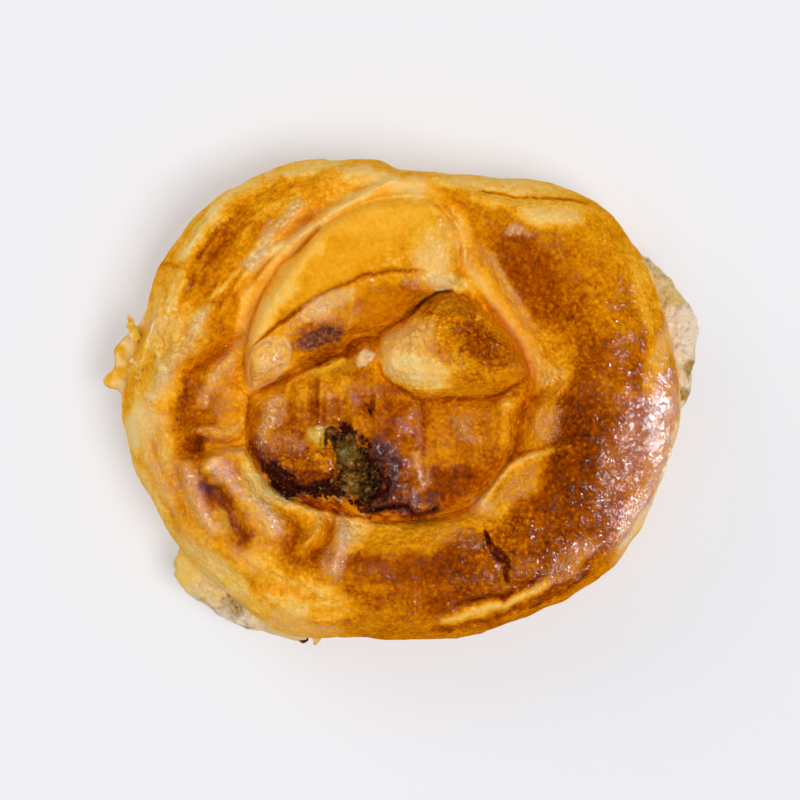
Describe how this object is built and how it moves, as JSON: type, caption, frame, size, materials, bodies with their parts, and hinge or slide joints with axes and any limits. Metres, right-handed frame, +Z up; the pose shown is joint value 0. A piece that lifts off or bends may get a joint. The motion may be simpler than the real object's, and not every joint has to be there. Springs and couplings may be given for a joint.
{
  "type": "potato placinta",
  "caption": "Coiled savoury pastry: a rope of thin baked dough filled with potato, wound in a flat spiral, its filling showing at a burst on top and at leaks in the side.",
  "frame": {"origin": "on the surface it rests on, under the middle of its outline's box", "axes": "+X along its longest side, +Y towards the tucked outer end of the rope, +Z up"},
  "size_m": [0.1304, 0.1057, 0.036],
  "materials": {
    "baked_dough": "egg-washed crust, golden to dark brown, glossy on the crowns",
    "potato_filling": "browned mashed potato, moist, uneven"
  },
  "bodies": {
    "root": {"pastry_coil": "baked_dough", "potato_filling": "potato_filling"}
  },
  "joints": []
}
